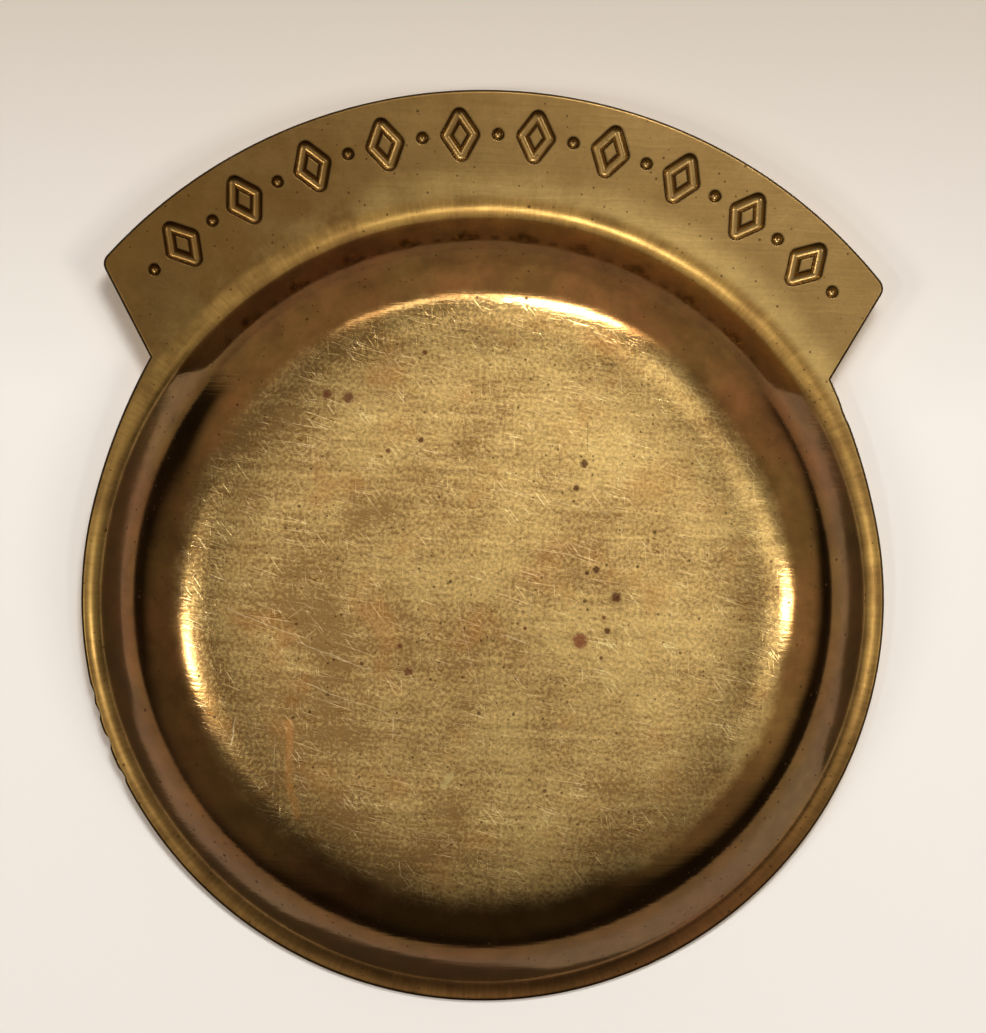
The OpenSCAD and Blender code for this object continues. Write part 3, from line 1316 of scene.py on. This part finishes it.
@dataclass
class Studio:
    """Table, floor, light and camera. None of it belongs to the tray."""

    sizes: TraySizes
    camera_distance: float = 450 * MM
    picture_height: float = 163.2 * MM
    picture_turn: float = math.radians(1.9)
    aim: Vector = field(default_factory=lambda: Vector((-1.2 * MM, 13.15 * MM, 13 * MM)))
    sensor: float = 36
    table_tilt: float = math.radians(2.3)
    stage_width: float = 3.0
    # The table darkens past the header, a painted shade, between these two places along the Y axis
    table_colours: tuple[str, str] = ("#eeebe9", "#c9c1b8")
    floor_colours: tuple[str, str] = ("#eeebe7", "#eeebe7")
    table_fade: tuple[float, float] = (30 * MM, 100 * MM)
    room: str = "#3a3531"
    pale: str = "#d9d2ca"
    horizon: tuple[float, float] = (-0.01, 0.03)
    # Share of the room's light that matt surfaces get
    matt_share: float = 0.36
    # The strip of painted shade beside the rim, which only the metal mirrors: its reach from the
    # rim in millimetres, at degrees clockwise in the picture
    flag_colour: str = "#7b7361"
    flag_steps: int = 6
    flag_gap: float = 0.2 * MM
    flag_lift: float = 0.3 * MM
    flag_reach: tuple[tuple[float, float], ...] = (
        (55, 12), (60, 14.5), (80, 15.5), (96, 14), (108, 9), (120, 3), (150, 1.5), (166, 2.5),
        (178, 6.5), (190, 8), (202, 7), (212, 5), (230, 5.5), (246, 9), (255, 14), (266, 17),
        (278, 17), (290, 17), (304, 14))
    patches: tuple[Patch, ...] = (
        Patch(180, 50, 14, 34, 0.12),
        Patch(238, 60, 10, 32, 0.3),
        Patch(268, 50, 8, 30, 0.35),
        Patch(122, 50, 8, 28, 0.65),
        Patch(92, 50, 10, 30, 1.1),
        Patch(62, 60, 14, 30, 0.7),
        Patch(2, 86, 50, 57, 0.74),
        Patch(12, 49, 16, 32, 1.1),
        Patch(322, 48, 8, 30, 0.8),
        Patch(46, 50, 8, 30, 0.95),
        Patch(45, 6, 8, 48, 0.34),
        Patch(29, 18, 4, 17, 1.2),
        Patch(92, 27, 3, 13, 1.2),
        Patch(258, 26, 3, 14, 1.2),
    )
    # Lamps on the camera's side: four that the metal mirrors, and three that cast the shadows
    back_lamps: tuple[Lamp, ...] = (
        Lamp("far_lamp", 17, 39.8, 1.2, 0.36, 0.06, 59.0),
        Lamp("far_strip", 4, 40, 1.25, 1.0, 0.07, 5.0),
        Lamp("left_lamp", 257, 34.8, 1.2, 0.13, 0.08, 40.0),
        Lamp("right_lamp", 93, 41.0, 1.2, 0.22, 0.1, 21.0),
        Lamp("far_shade", 14, 39, 1.2, 0.5, 0.4, 6.0, mirrored=False),
        Lamp("left_shade", 262, 53, 1.2, 0.25, 0.25, 14.0, "#fff6ea", mirrored=False),
        Lamp("right_shade", 98, 53, 1.2, 0.25, 0.25, 14.0, "#fff6ea", mirrored=False),
    )
    face_lamps: tuple[Lamp, ...] = (
        Lamp("studio_left", 300, 45, 1.3, 0.8, 0.6, 4.0, "#fffaf2"),
        Lamp("studio_right", 60, 55, 1.3, 0.6, 0.6, 2.5, "#f4f7ff"),
    )

    @property
    def picture_up(self) -> Vector:
        """Direction in the part's frame that is up in the picture."""
        return Vector((math.sin(self.picture_turn), math.cos(self.picture_turn), 0))

    def add_camera(self) -> None:
        """Adds the camera below the tray, looking straight up at its underside."""
        data = bpy.data.cameras.new("camera")
        data.sensor_width = self.sensor
        data.lens = data.sensor_width * self.camera_distance / self.picture_height
        data.clip_start, data.clip_end = 0.01, 20
        camera = bpy.data.objects.new("camera", data)
        up, back = self.picture_up, Vector((0, 0, -1))
        right = up.cross(back)
        turn = Matrix((right, up, back)).transposed().to_4x4()
        camera.matrix_world = Matrix.Translation(self.aim + back * self.camera_distance) @ turn
        bpy.context.collection.objects.link(camera)
        bpy.context.scene.camera = camera

    def add_plane(self, name: str, place: Matrix, colours: tuple[str, str], mirrored: bool) -> None:
        """Adds a wide sheet of melamine laminate: matt, pale and seen only from in front of it.

        Args:
            name: The object's name.
            place: Turns and moves a sheet that faces +Z at the origin.
            colours: The sheet's colour near the camera and past the header, where a darker one is
                painted shade, as sRGB hex.
            mirrored: Whether the tray mirrors the sheet.
        """
        mesh = bmesh.new()
        bmesh.ops.create_grid(mesh, x_segments=8, y_segments=8, size=self.stage_width / 2,
                              matrix=place)
        data = bpy.data.meshes.new(name)
        mesh.to_mesh(data)
        mesh.free()
        plane = bpy.data.objects.new(name, data)
        bpy.context.collection.objects.link(plane)
        material = bpy.data.materials.new(name + "_laminate")
        material.use_nodes = True
        tree = material.node_tree
        tree.nodes.clear()
        seen = add_node(tree, RAY, None, None, "Is Camera Ray")
        if mirrored:
            glossy = add_node(tree, RAY, None, None, "Is Glossy Ray")
            beside = add_node(tree, MATH, TIMES, {0: glossy, 1: self.beside_tray(tree)})
            seen = add_node(tree, MATH, {"operation": "MAXIMUM"}, {0: seen, 1: beside})
        behind = add_node(tree, "ShaderNodeNewGeometry", None, None, "Backfacing")
        shown = add_node(tree, MATH, {"operation": "SUBTRACT", "use_clamp": True},
                         {0: seen, 1: behind})
        spot = add_node(tree, COORDINATES, None, None, "Object")
        y = add_node(tree, SPLIT, None, {0: spot}, "Y")
        # Painted shade: the sheet darkens past the header
        far = add_node(tree, RANGE, None, {
            "Value": y, "From Min": self.table_fade[0], "From Max": self.table_fade[1]})
        paint = add_node(tree, MIX, COLOURS,
                         {"Factor": far, "A": linear(colours[0]), "B": linear(colours[1])})
        plain = add_node(tree, "ShaderNodeBsdfDiffuse", None, {"Color": paint})
        clear = add_node(tree, "ShaderNodeBsdfTransparent")
        mixed = add_node(tree, "ShaderNodeMixShader", None, {0: shown, 1: clear, 2: plain})
        add_node(tree, "ShaderNodeOutputMaterial", None, {"Surface": mixed})
        data.materials.append(material)

    def beside_tray(self, tree: bpy.types.NodeTree) -> bpy.types.NodeSocket:
        """Adds nodes that tell the table beside the tray, 1, from the part that it covers, 0.

        Args:
            tree: The node tree of a sheet whose object is at the origin.

        Returns:
            The socket that holds the answer.
        """
        s = self.sizes
        more = {"operation": "GREATER_THAN"}
        spot = add_node(tree, COORDINATES, None, None, "Object")
        x = add_node(tree, SPLIT, None, {0: spot}, "X")
        y = add_node(tree, SPLIT, None, {0: spot}, "Y")
        flat = add_node(tree, "ShaderNodeCombineXYZ", None, {"X": x, "Y": y})
        radius = add_node(tree, VECTOR, LENGTH, {0: flat})
        off_rim = add_node(tree, MATH, more, {0: radius, 1: s.rim})
        off_header = add_node(tree, MATH, more, {0: radius, 1: s.header})
        side = add_node(tree, MATH, {"operation": "ARCTAN2"}, {0: x, 1: y})
        side = add_node(tree, MATH, {"operation": "ABSOLUTE"}, {0: side})
        off_ends = add_node(tree, MATH, more, {0: side, 1: s.half_angle})
        either = add_node(tree, MATH, {"operation": "MAXIMUM"}, {0: off_header, 1: off_ends})
        return add_node(tree, MATH, TIMES, {0: off_rim, 1: either})

    def add_flag(self) -> None:
        """Adds a dim strip round the rim, painted shade on the table that only the upper wall
        mirrors.
        """
        s = self.sizes
        mesh = bmesh.new()
        inner, shift = [], {}
        for (start, reach), (end, next_reach) in zip(self.flag_reach, self.flag_reach[1:]):
            for i in range(self.flag_steps):
                share = 0.5 - 0.5 * math.cos(math.pi * i / self.flag_steps)
                angle = -math.radians(start + (end - start) * i / self.flag_steps)
                inner.append(mesh.verts.new(plan(s.rim + self.flag_gap, angle)))
                shift[len(inner) - 1] = plan((reach + (next_reach - reach) * share) * MM, angle)
        edges = [mesh.edges.new(pair) for pair in zip(inner, inner[1:])]
        places = {v.co.to_tuple(): shift[i] for i, v in enumerate(inner)}
        for part in bmesh.ops.extrude_edge_only(mesh, edges=edges)["geom"]:
            if isinstance(part, bmesh.types.BMVert):
                part.co += places[part.co.to_tuple()]
        for vert in mesh.verts:
            table = (vert.co.y + s.rim) * math.tan(self.table_tilt)
            vert.co.z = s.depth + s.sheet - self.flag_lift + table
        data = bpy.data.meshes.new("flag")
        mesh.to_mesh(data)
        mesh.free()
        flag = bpy.data.objects.new("flag", data)
        bpy.context.collection.objects.link(flag)
        material = bpy.data.materials.new("flag_painted_shade")
        material.use_nodes = True
        tree = material.node_tree
        tree.nodes.clear()
        # Painted shade: a dim strip that only the metal mirrors
        mirrored_shade = add_node(tree, "ShaderNodeBsdfDiffuse", None, {"Color": linear(self.flag_colour)})
        add_node(tree, "ShaderNodeOutputMaterial", None, {"Surface": mirrored_shade})
        data.materials.append(material)
        flag.visible_camera = flag.visible_diffuse = False
        flag.visible_shadow = flag.visible_transmission = False

    def add_surfaces(self) -> None:
        """Adds the table that the tray lies on face down, and a floor for the views of its face."""
        s = self.sizes
        touch = Vector((0, -s.rim, s.depth + s.sheet))
        table = Matrix.Translation(touch) @ Matrix.Rotation(self.table_tilt, 4, "X")
        table = table @ Matrix.Rotation(math.pi, 4, "X")
        self.add_plane("table", table, self.table_colours, True)
        self.add_plane("floor", Matrix.Identity(4), self.floor_colours, False)
        self.add_flag()

    def add_world(self) -> None:
        """Sets the surroundings: pale above the tray, and a dim room with soft patches below."""
        world = bpy.data.worlds.new("room")
        bpy.context.scene.world = world
        world.use_nodes = True
        tree = world.node_tree
        tree.nodes.clear()
        direction = add_node(tree, COORDINATES)
        colour = add_node(tree, "ShaderNodeRGB")
        colour.default_value = linear(self.room)
        for patch in self.patches:
            middle = aimed(patch.bearing, patch.off_axis, self.picture_up, Vector((0, 0, -1)))
            near = add_node(tree, VECTOR, {"operation": "DOT_PRODUCT"}, {0: direction, 1: middle})
            share = add_node(tree, RANGE, SMOOTH, {
                "Value": near, "From Min": math.cos(math.radians(patch.outer)),
                "From Max": math.cos(math.radians(patch.inner))})
            glow = tuple(patch.level * part for part in linear(patch.colour)[:3]) + (1.0,)
            colour = add_node(tree, MIX, COLOURS, {"Factor": share, "A": colour, "B": glow})
        height = add_node(tree, SPLIT, None, {0: direction}, "Z")
        above = add_node(tree, RANGE, SMOOTH, {
            "Value": height, "From Min": self.horizon[0], "From Max": self.horizon[1]})
        seen = add_node(tree, RAY, None, None, "Is Camera Ray")
        for share in (above, seen):
            colour = add_node(tree, MIX, COLOURS,
                              {"Factor": share, "A": colour, "B": linear(self.pale)})
        matt = add_node(tree, RAY, None, None, "Is Diffuse Ray")
        level = add_node(tree, RANGE, None,
                         {"Value": matt, "To Min": 1.0, "To Max": self.matt_share})
        back = add_node(tree, "ShaderNodeBackground", None, {"Color": colour, "Strength": level})
        add_node(tree, "ShaderNodeOutputWorld", None, {"Surface": back})

    def add_lamps(self) -> None:
        """Adds the lamps on the camera's side, and two soft ones above the tray."""
        centre = Vector((0, 0, self.sizes.depth / 2))
        for lamp in self.back_lamps:
            lamp.make(centre, self.picture_up, Vector((0, 0, -1)))
        for lamp in self.face_lamps:
            lamp.make(centre, Vector((0, 1, 0)), Vector((0, 0, 1)))

    def make(self) -> None:
        """Adds everything round the tray."""
        self.add_camera()
        self.add_surfaces()
        self.add_world()
        self.add_lamps()
        bpy.context.scene.view_settings.view_transform = "Standard"


def main() -> None:
    logging.basicConfig(level=logging.INFO, format="%(message)s")
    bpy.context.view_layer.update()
    sizes = TraySizes.from_frame()
    finishes = [finish.make() for finish in (BACK_FINISH, FACE_FINISH, EDGE_FINISH)]
    tray = PressedTray(sizes).make(finishes)
    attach(tray, "root")
    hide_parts(NODE)
    log.info("tray_sheet: %d faces", len(tray.data.polygons))
    Studio(sizes).make()


if __name__ == "__main__":
    main()
